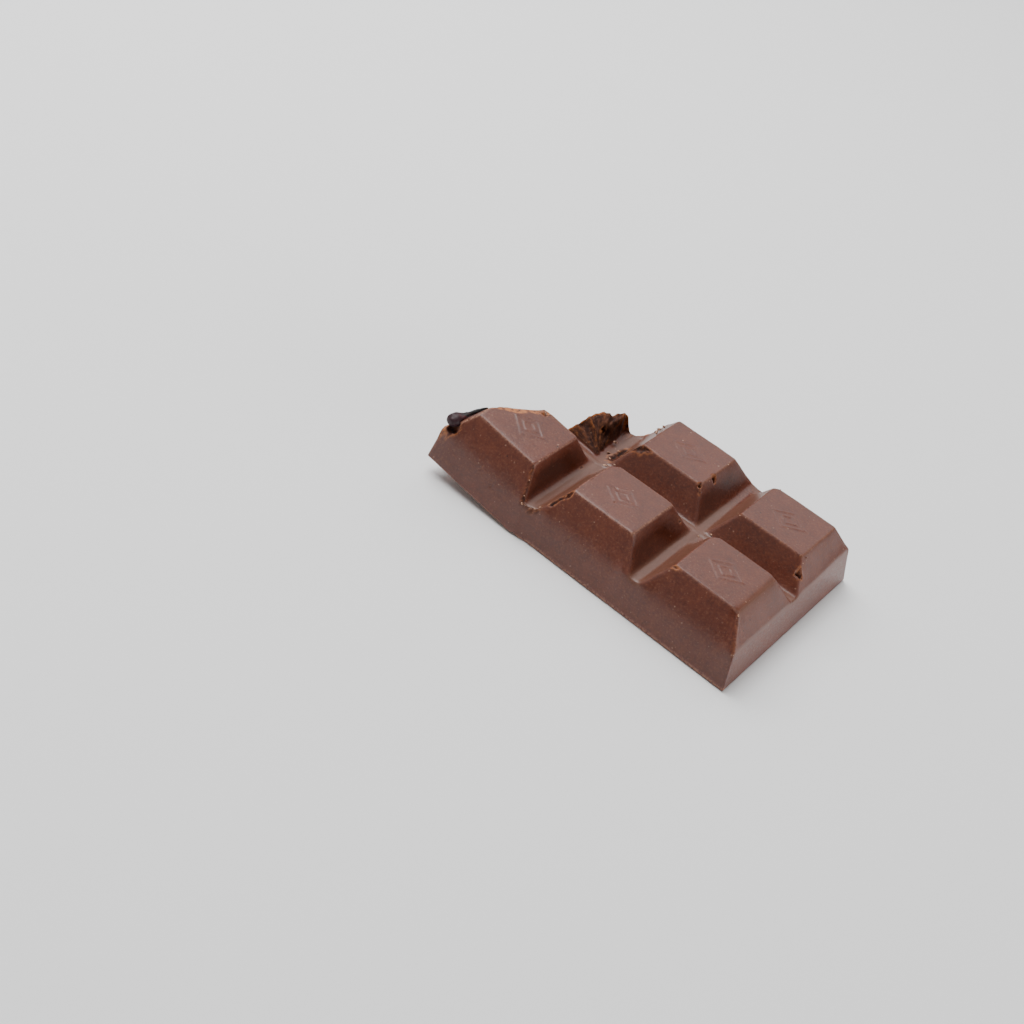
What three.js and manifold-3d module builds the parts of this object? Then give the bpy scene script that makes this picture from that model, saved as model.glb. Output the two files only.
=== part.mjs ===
// A broken-off piece of a milk chocolate bar with a piece of dried cherry in it. The bar is two
// squares wide: tapered squares stand on a thinner plate, with grooves between them. Three rows
// are left. One end is the moulded end of the bar, the other is broken: the last row is bent up
// in its groove, one of its squares is torn down to a stump, and the corner behind it is gone.
// Millimetres, +Z up. X runs along the bar towards its moulded end, Y across it.

import * as THREE from 'three';
import { mergeVertices } from 'three/addons/utils/BufferGeometryUtils.js';
import Module from 'manifold-3d';

const wasm = await Module();
wasm.setup();

// Driving dimensions of the mould
const pitchX = 20.0; // from square to square along the bar
const pitchY = 18.95; // from square to square across the bar
const topX = 11.8; // flat top of a square, along the bar
const topY = 10.95; // flat top of a square, across the bar
const thickness = 11.45; // back of the bar to the tops of the squares
const plateHeight = 6.2; // back of the bar to the feet of the squares, and to the groove floors
const wallRun = 3.15; // how far a square's walls lean in on their way up
const plateDraft = 1.15; // how far the plate's sides lean out on their way down
const backEdge = 0.3; // chamfer round the flat back
const cornerRadius = 0.5; // rounding of the squares' upright corners
const sharpCorner = 0.01; // the same where the plate runs on into the rest of the bar
const footDepth = 0.4; // how deep a square's foot is sunk in the plate
const footInset = 0.02; // how far that foot stays inside the plate's side
const topEdge = 0.3; // rounding of the squares' top edges
// Its profile: how far in from the edge, how far down and how round the upright corners are, as
// shares of the edge, the edge and the corner radius
const topEdgeProfile = [[-0.6, 1, 1], [0.25, 0.3, 0.8], [0.9, 0, 0.6]];

// Rails along the groove floors
const railWidth = 1.0;
const railHeight = 0.15;
const railDepth = 0.3; // how deep they are sunk in the floor
const railEnd = 0.25; // how far short of the piece's side they stop

// Thin raised lozenge on each top: two outlines, one inside the other
const lozengeLength = 6.2;
const lozengeWidth = 4.4;
const lozengeLine = 0.3;
const lozengeHeight = 0.18;
const lozengeDepth = 0.2; // how deep it is sunk in the top
const innerLozenge = 0.45; // size of the inner outline as a share of the outer one

// The last row, bent up in the groove. The back of the bar is a little hollow there.
const bendAngle = THREE.MathUtils.degToRad(8);
const twistAngle = THREE.MathUtils.degToRad(1.2);
const bendLine = new THREE.Vector3(-(pitchX - topX) / 2, 15, 0); // middle of the groove, on the back
const bendSlip = new THREE.Vector3(-0.95, -0.5, 0.06); // what the row slid while it bent
const bendOverlap = 1.1; // how far the two parts of the plate run into each other
const backHollow = 0.35;

// The break, seen from above: X and Y of its bends, from the front side to the back one
const breakLine = [
  [-24.0, -9], [-24.0, -4.2], [-23.9, -2], [-23.3, 0], [-20.9, 1.9], [-19.4, 4.5], [-16.4, 9.0],
  [-14.8, 11.8], [-12.3, 16.0], [-11.7, 18.1], [-10.8, 21.0], [-9.2, 23.0], [-7.4, 25.7],
  [-4.8, 26.1], [-3.1, 29.6], [-2.9, 33], [-3.1, 40],
];
const breakStep = 1.1; // spacing of the crags along the break
const breakLayers = 9; // crags from bottom to top
const cragDepth = 0.45;
const cragSlant = 0.6; // how far a crag leans across the bar, as a share of its depth
const brokenOff = { x: -45, base: -4, height: 20 }; // how far the missing part of the bar went
const rowLength = 26; // the last row before it broke, from the first square's top corner

// The stump of the torn square: two slopes that rise from the grooves and level off
const stumpFootX = -5.05;
const stumpFootY = 15.7;
const stumpSlopeX = 1.12;
const stumpSlopeY = 0.85;
const stumpRidgeRounding = 0.5;
const stumpRise = 3.6; // where the slopes level off
const stumpBase = 0.25; // least height above the groove floors
const stumpCragDepth = 0.3;
const furrowCount = 17; // furrows in a full turn round the foot
const furrowStart = 2; // height at which they reach their full depth
const stumpGrid = 34;
const torn = { x0: -16, x1: -4.4, y0: 14.9, y1: 36, height: 8 }; // what is torn away, seen from above

// Air bubbles that show as holes: X, Y, Z and radius, on the straight part of the piece
const bubbles = [
  [11.5, 18.9, 11.3, 0.62], [11.9, 22.3, 11.1, 0.45], [32.7, 18.0, 9.1, 0.75],
];
// Hollow chipped out of the square beside the stump, at its foot
const chip = { x: -3.0, y: 17.6, z: 6.9, length: 3.4, width: 1.5 };

// The piece of dried cherry in the broken groove: its thick end, its thin end and its girth
const cherryEnd = new THREE.Vector3(-23.6, -2.1, 7.9);
const cherryTip = new THREE.Vector3(-21.2, 2.6, 10.6);
const cherryRadius = 1.4;
const cherryTaper = 0.33; // how much thinner it gets from its middle to its thin end
const cherryFlatness = 0.85;
const cherryOverhang = 0.9; // how far it reaches past the two points
const cherryLumps = 0.16;
const cherryLumpScale = 2; // lumps along and round it
const cherryGap = 0.3; // between it and the chocolate
const cherrySides = 22;
const cherryRings = 14;
// The hollow that it left below its thick end
const hollowCentre = new THREE.Vector3(-23.0, -3.0, 7.5);
const hollowRadius = 1.35;

// The straight part ends at the feet of its last squares. The grooves' middles lie between squares.
const endX = pitchX + topX + wallRun;
const backY = pitchY + topY + wallRun;
const middleY = (topY + pitchY) / 2;
const grooveOneX = bendLine.x;
const grooveTwoX = grooveOneX + pitchX;

const chocolateMaterial = new THREE.MeshStandardMaterial({
  name: 'milk_chocolate', color: 0x7a5145, roughness: 0.5, metalness: 0,
});
const cherryMaterial = new THREE.MeshStandardMaterial({
  name: 'dried_cherry', color: 0x2a1418, roughness: 0.25, metalness: 0,
});

// Smooth noise between -1 and 1: three waves whose directions share no common period.
function noise(x, y, z) {
  return (
    Math.sin(1.7 * x + 2.3 * y + 0.9 * z) +
    Math.sin(-2.9 * x + 1.3 * y + 2.1 * z + 1.1) +
    Math.sin(0.7 * x - 3.1 * y + 3.7 * z + 2.3)
  ) / 3;
}

// Turns a closed geometry into a solid that can be joined and cut.
function toSolid(geometry) {
  const bare = geometry.clone();
  bare.deleteAttribute('normal');
  bare.deleteAttribute('uv');
  const merged = mergeVertices(bare, 1e-5);
  return new wasm.Manifold(new wasm.Mesh({
    numProp: 3,
    vertProperties: new Float32Array(merged.attributes.position.array),
    triVerts: new Uint32Array(merged.index.array),
  }));
}

// Turns a solid back into a geometry.
function toGeometry(solid) {
  const mesh = solid.getMesh();
  const geometry = new THREE.BufferGeometry();
  geometry.setAttribute('position', new THREE.BufferAttribute(mesh.vertProperties, 3));
  geometry.setIndex(new THREE.BufferAttribute(mesh.triVerts, 1));
  geometry.computeVertexNormals();
  return geometry;
}

// Corner-rounded rectangle at height z, as a ring of points that runs anticlockwise.
function ring(x0, x1, y0, y1, z, radius) {
  const centres = [
    [x1 - radius, y1 - radius, 0], [x0 + radius, y1 - radius, 1],
    [x0 + radius, y0 + radius, 2], [x1 - radius, y0 + radius, 3],
  ];
  const points = [];
  for (const [cx, cy, quarter] of centres) {
    for (let step = 0; step <= 2; step += 1) {
      const angle = (quarter + step / 2) * Math.PI / 2;
      points.push(new THREE.Vector3(
        cx + radius * Math.cos(angle), cy + radius * Math.sin(angle), z,
      ));
    }
  }
  return points;
}

// Closed skin over a stack of rings, lowest first, with a flat cap at each end.
function loft(rings) {
  const count = rings[0].length;
  const positions = rings.flat().flatMap((p) => p.toArray());
  const index = [];
  for (let layer = 0; layer < rings.length - 1; layer += 1) {
    for (let k = 0; k < count; k += 1) {
      const a = layer * count + k;
      const b = layer * count + (k + 1) % count;
      index.push(a, b, b + count, a, b + count, a + count);
    }
  }
  const top = (rings.length - 1) * count;
  for (let k = 1; k < count - 1; k += 1) {
    index.push(0, k + 1, k);
    index.push(top, top + k, top + k + 1);
  }
  const geometry = new THREE.BufferGeometry();
  geometry.setAttribute('position', new THREE.Float32BufferAttribute(positions, 3));
  geometry.setIndex(index);
  return geometry;
}

// One square with its top corner at x, y: leaning walls, rounded corners, rounded top edge.
function square(x, y) {
  const level = (inset, z, radius) => ring(
    x - wallRun + inset, x + topX + wallRun - inset,
    y - wallRun + inset, y + topY + wallRun - inset, z, radius,
  );
  return loft([
    level(footInset, plateHeight - footDepth, cornerRadius),
    level(footInset, plateHeight, cornerRadius),
    ...topEdgeProfile.map(([inward, down, round]) => level(
      wallRun + inward * topEdge, thickness - down * topEdge, round * cornerRadius,
    )),
  ]);
}

// The plate between x0 and x1, with its back at height z0 and drafted sides along the bar. Where
// an end is the bar's own, it is drafted too.
function plate(x0, x1, z0, mouldedEnd) {
  const y0 = -wallRun;
  const level = (out, z) => ring(
    x0, x1 + (mouldedEnd ? out : 0), y0 - out, backY + out, z,
    mouldedEnd ? cornerRadius : sharpCorner,
  );
  return loft([
    level(plateDraft - backEdge, z0),
    level(plateDraft, z0 + backEdge),
    level(0, plateHeight),
  ]);
}

// Raised lozenge outline on the middle of a top.
function lozenge(x, y, scale) {
  const corners = (size) => [
    new THREE.Vector2(size * lozengeLength / 2, 0), new THREE.Vector2(0, size * lozengeWidth / 2),
    new THREE.Vector2(-size * lozengeLength / 2, 0), new THREE.Vector2(0, -size * lozengeWidth / 2),
  ];
  const outline = new THREE.Shape(corners(scale));
  outline.holes.push(new THREE.Path(corners(scale - 2 * lozengeLine / lozengeWidth)));
  const line = new THREE.ExtrudeGeometry(outline, {
    depth: lozengeHeight + lozengeDepth, bevelEnabled: false,
  });
  line.translate(x + topX / 2, y + topY / 2, thickness - lozengeDepth);
  return line;
}

// A low rail along a groove floor.
function rail(x0, x1, y0, y1) {
  const height = railHeight + railDepth;
  const box = new THREE.BoxGeometry(x1 - x0, y1 - y0, height);
  box.translate((x0 + x1) / 2, (y0 + y1) / 2, plateHeight + railHeight - height / 2);
  return box;
}

// Points along the break at even steps.
function breakPoints() {
  const curve = new THREE.CurvePath();
  for (let k = 0; k < breakLine.length - 1; k += 1) {
    curve.add(new THREE.LineCurve(
      new THREE.Vector2(...breakLine[k]), new THREE.Vector2(...breakLine[k + 1]),
    ));
  }
  return curve.getSpacedPoints(Math.round(curve.getLength() / breakStep));
}

// Everything beyond the break, as a block with a rugged face.
function beyondBreak() {
  const edge = breakPoints();
  const outline = new THREE.Shape([
    ...edge,
    new THREE.Vector2(brokenOff.x, edge.at(-1).y), new THREE.Vector2(brokenOff.x, edge[0].y),
  ]);
  const block = new THREE.ExtrudeGeometry(outline, {
    depth: brokenOff.height, steps: breakLayers, bevelEnabled: false,
  });
  block.translate(0, 0, brokenOff.base);
  const position = block.attributes.position;
  for (let k = 0; k < position.count; k += 1) {
    const [x, y, z] = [position.getX(k), position.getY(k), position.getZ(k)];
    if (x > brokenOff.x) {
      position.setX(k, x + cragDepth * noise(x, y, z));
      position.setY(k, y + cragDepth * cragSlant * noise(y, z, x));
    }
  }
  return block;
}

// The lower of two heights, with a rounded change between them.
function roundedMin(a, b) {
  return (a + b - Math.hypot(a - b, stumpRidgeRounding)) / 2;
}

// Height of the torn surface: the lower of two slopes that level off at the stump's rise, with
// furrows that fan out from the corner where the grooves meet.
function stumpHeight(x, y) {
  const fromX = stumpSlopeX * (stumpFootX - x);
  const fromY = stumpSlopeY * (y - stumpFootY);
  const lower = roundedMin(roundedMin(fromX, fromY), stumpRise);
  const fan = Math.atan2(y - stumpFootY, stumpFootX - x);
  const reach = Math.min(1, Math.max(0, lower) / furrowStart);
  const furrow = stumpCragDepth * reach * (Math.sin(furrowCount * fan) + noise(x, y, 0));
  return plateHeight + Math.max(stumpBase, lower + furrow);
}

// Everything above the torn surface of the last square.
function aboveStump() {
  const middleZ = plateHeight + torn.height;
  const block = new THREE.BoxGeometry(
    torn.x1 - torn.x0, torn.y1 - torn.y0, torn.height, stumpGrid, stumpGrid, 1,
  );
  block.translate((torn.x0 + torn.x1) / 2, (torn.y0 + torn.y1) / 2, middleZ);
  const position = block.attributes.position;
  for (let k = 0; k < position.count; k += 1) {
    if (position.getZ(k) < middleZ) {
      position.setZ(k, stumpHeight(position.getX(k), position.getY(k)));
    }
  }
  return block;
}

// The cherry: a lumpy body, thick at one end and thin at the other.
function cherryShape(extra) {
  const axis = cherryTip.clone().sub(cherryEnd);
  const half = axis.length() / 2;
  const body = new THREE.SphereGeometry(1, cherrySides, cherryRings);
  const position = body.attributes.position;
  const point = new THREE.Vector3();
  for (let k = 0; k < position.count; k += 1) {
    point.fromBufferAttribute(position, k);
    const along = point.y;
    const [u, v, w] = point.clone().multiplyScalar(cherryLumpScale).toArray();
    const lump = 1 + cherryLumps * noise(u, v, w);
    const girth = cherryRadius * (1 - cherryTaper * (1 + along)) * lump;
    position.setXYZ(
      k,
      point.x * (girth + extra),
      along * (half + cherryOverhang + extra),
      point.z * (girth * cherryFlatness + extra),
    );
  }
  const turn = new THREE.Quaternion().setFromUnitVectors(
    new THREE.Vector3(0, 1, 0), axis.clone().normalize(),
  );
  body.applyQuaternion(turn);
  const middle = cherryTip.clone().add(cherryEnd).multiplyScalar(0.5);
  body.translate(middle.x, middle.y, middle.z);
  return body;
}

// Where the bent row lies.
function bentRow() {
  return new THREE.Matrix4()
    .makeTranslation(bendLine.clone().add(bendSlip))
    .multiply(new THREE.Matrix4().makeRotationY(bendAngle))
    .multiply(new THREE.Matrix4().makeRotationX(twistAngle))
    .multiply(new THREE.Matrix4().makeTranslation(bendLine.clone().negate()));
}

function join(geometries) {
  return geometries.map(toSolid).reduce((whole, next) => whole.add(next));
}

function straightPart() {
  const pieces = [plate(grooveOneX - bendOverlap, endX, 0, true)];
  for (const x of [0, pitchX]) {
    for (const y of [0, pitchY]) {
      pieces.push(square(x, y), lozenge(x, y, 1), lozenge(x, y, innerLozenge));
    }
  }
  pieces.push(rail(
    grooveTwoX - railWidth / 2, grooveTwoX + railWidth / 2, -wallRun + railEnd, backY - railEnd,
  ));
  pieces.push(rail(
    grooveOneX + railEnd, endX - railEnd, middleY - railWidth / 2, middleY + railWidth / 2,
  ));
  let solid = join(pieces);
  for (const [x, y, z, radius] of bubbles) {
    solid = solid.subtract(toSolid(new THREE.IcosahedronGeometry(radius, 1).translate(x, y, z)));
  }
  const hollow = new THREE.IcosahedronGeometry(1, 1);
  hollow.scale(chip.width / 2, chip.length / 2, chip.width / 2);
  hollow.translate(chip.x, chip.y, chip.z);
  return solid.subtract(toSolid(hollow)).subtract(toSolid(beyondBreak()));
}

function lastRow() {
  const pieces = [plate(-rowLength, grooveOneX, backHollow, false), square(-pitchX, 0)];
  pieces.push(lozenge(-pitchX, 0, 1), lozenge(-pitchX, 0, innerLozenge));
  pieces.push(rail(
    -rowLength, grooveOneX - railEnd, middleY - railWidth / 2, middleY + railWidth / 2,
  ));
  const stump = toSolid(square(-pitchX, pitchY)).subtract(toSolid(aboveStump()));
  const hollow = new THREE.IcosahedronGeometry(hollowRadius, 2);
  hollow.translate(hollowCentre.x, hollowCentre.y, hollowCentre.z);
  return join(pieces).add(stump)
    .subtract(toSolid(beyondBreak()))
    .subtract(toSolid(hollow))
    .subtract(toSolid(cherryShape(cherryGap)));
}

function chocolate() {
  const row = toGeometry(lastRow()).applyMatrix4(bentRow());
  return toGeometry(straightPart().add(toSolid(row)));
}

const chocolateMesh = new THREE.Mesh(chocolate(), chocolateMaterial);
chocolateMesh.name = 'chocolate';

const cherryMesh = new THREE.Mesh(cherryShape(0).applyMatrix4(bentRow()), cherryMaterial);
cherryMesh.name = 'cherry';

// The origin is at the middle of the piece, on the surface it lies on.
const piece = new THREE.Group();
piece.add(chocolateMesh, cherryMesh);
const extent = new THREE.Box3().setFromObject(piece);
const centre = extent.getCenter(new THREE.Vector3());
piece.position.set(-centre.x, -centre.y, -extent.min.z);

export default piece;
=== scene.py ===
"""A broken-off piece of a milk chocolate bar with dried cherry in it, dressed round its solids.

Shapes are worked out in millimetres in the bar's own frame: x along the bar towards its moulded
end and y across it, both 0 at the top corner of the middle front square, z up from the flat back.
"""

import bpy
import numpy as np
from mathutils import Matrix, Vector


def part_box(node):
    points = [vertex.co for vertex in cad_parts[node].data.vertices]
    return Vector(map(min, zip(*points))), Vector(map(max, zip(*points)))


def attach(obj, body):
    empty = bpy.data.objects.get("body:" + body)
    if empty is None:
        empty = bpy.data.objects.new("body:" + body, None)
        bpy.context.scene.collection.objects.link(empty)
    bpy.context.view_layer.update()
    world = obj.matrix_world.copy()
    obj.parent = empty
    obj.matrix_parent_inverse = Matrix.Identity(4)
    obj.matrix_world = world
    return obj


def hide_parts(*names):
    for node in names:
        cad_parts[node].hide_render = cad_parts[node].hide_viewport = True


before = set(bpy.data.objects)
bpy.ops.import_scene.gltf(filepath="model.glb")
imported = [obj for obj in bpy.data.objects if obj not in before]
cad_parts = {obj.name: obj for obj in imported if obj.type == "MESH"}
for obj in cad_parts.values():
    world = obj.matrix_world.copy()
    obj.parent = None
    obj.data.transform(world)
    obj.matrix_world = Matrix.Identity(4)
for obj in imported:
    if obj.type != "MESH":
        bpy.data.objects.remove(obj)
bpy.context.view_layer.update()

# The chocolate is one moulded body: tapered squares on a thinner plate, with grooves between them.
# The bar was snapped across a groove, which left a rugged face, bent the last row up and tore one
# of its squares down to a stump. Its surface is one closed skin: top, sides, break and back.
MM = 0.001
PITCH_X, PITCH_Y = 20.0, 18.95
TOP_X, TOP_Y = 11.8, 10.95
THICKNESS = 11.45
PLATE = 6.2
WALL_RUN = 3.15
PLATE_DRAFT = 1.15
END_X = PITCH_X + TOP_X + WALL_RUN
BACK_Y = PITCH_Y + TOP_Y + WALL_RUN
GROOVE_X = (TOP_X - PITCH_X) / 2
GROOVE_Y = (TOP_Y + PITCH_Y) / 2
SQUARES = [(0, 0), (PITCH_X, 0), (0, PITCH_Y), (PITCH_X, PITCH_Y), (-PITCH_X, 0)]
TORN_SQUARE = (-PITCH_X, PITCH_Y)
WORN_SQUARE = (PITCH_X, 0)
BENT_SQUARE = (-PITCH_X, 0)
LOZENGE_X, LOZENGE_Y = 6.2, 4.4
LOZENGE_SCALES = 1.0, 0.45
LOZENGE_RISE, LOZENGE_LINE = 0.09, 0.17

BEND = np.radians(8.0)
TWIST = np.radians(1.2)
BEND_LINE = np.array([GROOVE_X, 15.0, 0.0])
BEND_SLIP = np.array([-0.95, -0.5, 0.06])
BEND_FROM, BEND_TO = -2.7, -5.5
BACK_HOLLOW = 0.35
CRACK_X, CRACK_DEPTH = -4.7, 0.3

# The break seen from above: x at each y of its rim, from the front side to the back one
BREAK_Y = [-4.6, -3.0, -2.0, -1.0, 0, 1.2, 2.0, 2.6, 4.5, 9, 11.8, 16, 18.1, 21, 23, 25.7, 26.1, 29.6]
BREAK_X = [
    -24.1, -24.1, -24.0, -23.7, -23.2, -22.3, -21.5, -20.6, -19.8, -16.4, -14.8, -12.3, -11.7,
    -10.8, -9.2, -7.4, -4.8, -3.1,
]
BREAK_CRAGS = 0.26
BEVEL_WIDTH, FLAKED_WIDTH, BEVEL_DROP = 0.35, 1.3, 0.2

# Where the shared frame's origin lies in the bar's: the solid's moulded end and back side give it
high_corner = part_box("chocolate")[1]
bar_origin = np.array([
    END_X + PLATE_DRAFT - high_corner.x / MM, BACK_Y + PLATE_DRAFT - high_corner.y / MM, 0.0,
])


def ease(value, start, end):
    """0 at start and 1 at end, by the cubic 3t^2 - 2t^3 between them."""
    t = np.clip((value - start) / (end - start), 0, 1)
    return t * t * (3 - 2 * t)


def rounded_min(a, b, radius):
    """The lower of a and b, with a hyperbola instead of the corner where they cross."""
    return (a + b - np.hypot(a - b, radius)) / 2


def rounded_max(a, b, radius):
    """The higher of a and b, with a hyperbola instead of the corner where they cross."""
    return (a + b + np.hypot(a - b, radius)) / 2


def noise(points, size, seed, layers=1):
    """Smooth noise from -1 to 1: random numbers on a cubic lattice of that size, blended by the
    ease curve between the eight corners round each point; each layer halves size and height."""
    table = np.random.default_rng(seed).uniform(-1, 1, (24, 24, 24))
    total, share = 0.0, 1.0
    for layer in range(layers):
        cell = np.floor(points / size)
        t = points / size - cell
        t = t * t * (3 - 2 * t)
        cell = cell.astype(int)
        for corner in np.ndindex(2, 2, 2):
            near = np.where(np.array(corner) == 1, t, 1 - t).prod(axis=-1)
            at = np.moveaxis((cell + corner + 7 * layer) % 24, -1, 0)
            total = total + share * near * table[at[0], at[1], at[2]]
        size, share = size / 2, share / 2
    return total / (2 - 2 * share)


def break_x(y):
    """x of the break at y: straight runs between its bends, with crags added on them."""
    line = np.stack([y, 0 * y + 3.3, 0 * y + 7.1], axis=-1)
    return np.interp(y, BREAK_Y, BREAK_X) + BREAK_CRAGS * noise(line, 1.1, 11, 4)


def rim_bevel(x, y):
    """How far into the broken bevel along the top's rim a point lies: 1 at the break, 0 past a
    ragged line up to three millimetres inside it, furthest on the bent square's flaked rim."""
    line = np.stack([y, 0 * y + 5.5, 0 * y], axis=-1)
    width = BEVEL_WIDTH + FLAKED_WIDTH * ease(y, 3, 6) * ease(y, 12, 10.5)
    width = width * (1 + 0.85 * noise(line, 1.3, 12, 4))
    return np.clip(1 - (x - break_x(y)) / width, 0, 1)


BENT_REACH, BENT_STEEPNESS = 0.5, 1.35
CORNER_ROUNDING, EDGE_ROUNDING, WORN_ROUNDING = 0.4, 0.2, 0.5
WALL_START = 0.08


def outside(x, y, corner):
    """How far outside a square's top a point lies, along x and along y. The bent-up square reaches
    further out to the break, and its wall on the groove is steeper."""
    low, high = corner[0] - x, x - corner[0] - TOP_X
    if corner == BENT_SQUARE:
        low, high = low - BENT_REACH, high * BENT_STEEPNESS
    return np.maximum(low, high), np.maximum(corner[1] - y, y - corner[1] - TOP_Y)


def square_height(x, y, corner):
    """Height of one square: a flat top that falls away with the distance outside it, the larger
    of the two along the axes, down a straight wall."""
    out_x, out_y = outside(x, y, corner)
    out = rounded_max(out_x, out_y, CORNER_ROUNDING)
    wall = THICKNESS - (THICKNESS - PLATE) * (out - WALL_START) / WALL_RUN
    rounding = EDGE_ROUNDING
    if corner == WORN_SQUARE:
        near_end = ease(x, corner[0], corner[0] + TOP_X)
        rounding = rounding + WORN_ROUNDING * ease(out_x, -1.2, -0.2) * near_end
    return rounded_min(wall, THICKNESS, rounding)


def lozenge_relief(x, y, corner, scale):
    """Height of a raised lozenge line: a bell over the distance from the outline, where
    |x| / half length + |y| / half width is the scale."""
    across = np.abs(x - corner[0] - TOP_X / 2) / (LOZENGE_X / 2)
    along = np.abs(y - corner[1] - TOP_Y / 2) / (LOZENGE_Y / 2)
    slope = np.hypot(2 / LOZENGE_X, 2 / LOZENGE_Y)
    distance = (across + along - scale) / slope
    return LOZENGE_RISE * np.exp(-(distance / LOZENGE_LINE) ** 2)


# The stump: the point that its furrows fan out from, the line of its foot, and the y it rises from
FAN_X, FAN_Y = -5.3, 16.3
STUMP_FOOT_Y, STUMP_FOOT_X = [15.7, 18, 22, 26], [-5.2, -5.7, -6.2, -6.5]
STUMP_FRONT = 15.8
STUMP_BASE, STUMP_RISE = 0.1, 3.55


def stump_crags(x, y):
    """Furrows that fan out from the stump's foot, as sines of the angle there, and fine crags."""
    spot = np.stack([x, y, 0 * x], axis=-1)
    fan = np.arctan2(y - FAN_Y, FAN_X - x) + 0.1 * noise(spot, 2.5, 21, 2)
    ridges = 0.24 * np.sin(17 * fan) + 0.17 * np.sin(41 * fan + 1.0)
    return ridges + 0.3 * noise(spot, 0.9, 22, 4)


def stump_height(x, y):
    """Height of the torn surface: the lower of two slopes that rise from the foot of the square,
    ever steeper towards the back, and level off, with noise in the foot's line and crags that
    grow on the way up."""
    spot = np.stack([x, y, 0 * x], axis=-1)
    foot_x = np.interp(y, STUMP_FOOT_Y, STUMP_FOOT_X) + 0.35 * noise(spot, 0.8, 23, 3)
    from_x = (1.15 + 2.6 * ease(y, 19, 25)) * (foot_x - x)
    from_y = 0.8 * (y - STUMP_FRONT)
    lower = rounded_min(rounded_min(from_x, from_y, 0.5), STUMP_RISE, 0.5)
    crags = np.clip(lower / 2, 0, 1) * stump_crags(x, y)
    return PLATE + np.maximum(STUMP_BASE, lower + crags)


# Squares with a top corner clipped off: how far along x and y its corner lies, and what is gone
CLIPS = {(0, 0): (0, TOP_Y, 0.85), (PITCH_X, 0): (0, TOP_Y, 0.7), (PITCH_X, PITCH_Y): (0, TOP_Y, 0.5)}
# Air bubbles and chips: centre and half width along x, y and z of what is scooped out
BITES = [
    (11.75, 19.0, 11.6, 0.38, 0.36, 1.5), (12.4, 18.5, 10.35, 0.28, 0.3, 0.15),
    (12.0, 22.8, 11.6, 0.5, 0.5, 2.2), (32.95, 17.75, 9.5, 0.7, 0.5, 1.5),
    (-7.95, 19.45, 10.2, 0.42, 0.5, 2.2), (-3.5, 18.0, 7.3, 0.9, 1.6, 1.1),
    (-2.6, 19.6, 8.6, 0.5, 0.7, 0.8), (-0.3, 18.5, 11.2, 1.3, 0.6, 0.9),
    (1.0, 18.75, 11.45, 1.1, 0.35, 0.45), (-22.75, -2.3, 8.1, 1.3, 0.85, 2.0),
    (20.0, -0.1, 11.2, 0.7, 0.2, 0.25), (13.5, 12.0, 8.7, 0.25, 0.4, 0.4),
    (-12.0, -3.2, 6.1, 0.16, 0.16, 0.5), (-14.8, -3.0, 6.7, 0.13, 0.13, 0.4),
    (3.25, -3.1, 6.4, 0.14, 0.14, 0.4), (3.85, 6.0, 11.5, 0.14, 0.14, 0.4),
    (5.7, 3.25, 11.5, 0.12, 0.12, 0.35), (-5.3, 11.6, 6.9, 0.2, 0.5, 0.35),
    (-3.55, 19.9, 7.0, 0.55, 2.0, 1.0),
    (-14.6, 9.9, 11.5, 0.45, 0.4, 0.35),
]


def bites_along(start, end, count, half, depth, seed):
    """Small bites in a row from start to end, which lie on the surface, their sizes drawn."""
    draw = np.random.default_rng(seed)
    for t in np.linspace(0, 1, count):
        size = half * draw.uniform(0.6, 1.2)
        place = np.array(start) * (1 - t) + np.array(end) * t + draw.normal(0, half / 5, 3)
        BITES.append((*place, size, size, depth * draw.uniform(0.6, 1.1)))


bites_along((-2.1, -1.9, 8.1), (-0.1, -0.05, 11.4), 9, 0.4, 0.65, 1)
bites_along((-5.9, -3.0, 6.6), (-8.1, 0.0, 11.5), 14, 0.3, 0.3, 2)
bites_along((-15.8, 10.6, 11.6), (-9, 11, 11.6), 12, 0.22, 0.2, 3)
bites_along((0.3, PITCH_Y, 11.5), (11.6, PITCH_Y, 11.5), 17, 0.16, 0.16, 4)
bites_along((20.2, PITCH_Y, 11.5), (31.6, PITCH_Y, 11.5), 13, 0.15, 0.15, 5)
bites_along((-4.4, -3.25, 6.2), (-3.3, -3.2, 6.3), 4, 0.32, 0.3, 6)
bites_along((31.9, 0.0, 11.5), (34.9, -3.1, 6.3), 12, 0.2, 0.16, 7)


def bite_reaches(x, y):
    """For each bite, how far out in it a point lies: 1 at its outline, made uneven by noise."""
    spot = np.stack([x, y, 0 * x], axis=-1)
    uneven = 1 + 0.3 * noise(spot, 0.5, 31, 2)
    return [
        np.hypot((x - bite[0]) / bite[3], (y - bite[1]) / bite[4]) * uneven for bite in BITES
    ]


def bitten(height, x, y):
    """Height with each bite scooped out: the lower half of an ellipsoid."""
    for bite, away in zip(BITES, bite_reaches(x, y)):
        bottom = bite[2] - bite[5] * np.sqrt(np.clip(1 - away ** 2, 0, 1))
        height = np.where(away < 1, np.minimum(height, bottom), height)
    return height


RAIL_HEIGHT, FILLET = 0.12, 0.75
CLIP_SLOPE, CLIP_ROUNDING = 1.75, 0.12


def from_groove(x):
    """Distance along the bar to the middle of the nearest groove across it."""
    return np.abs((x - GROOVE_X + PITCH_X / 2) % PITCH_X - PITCH_X / 2)


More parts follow.
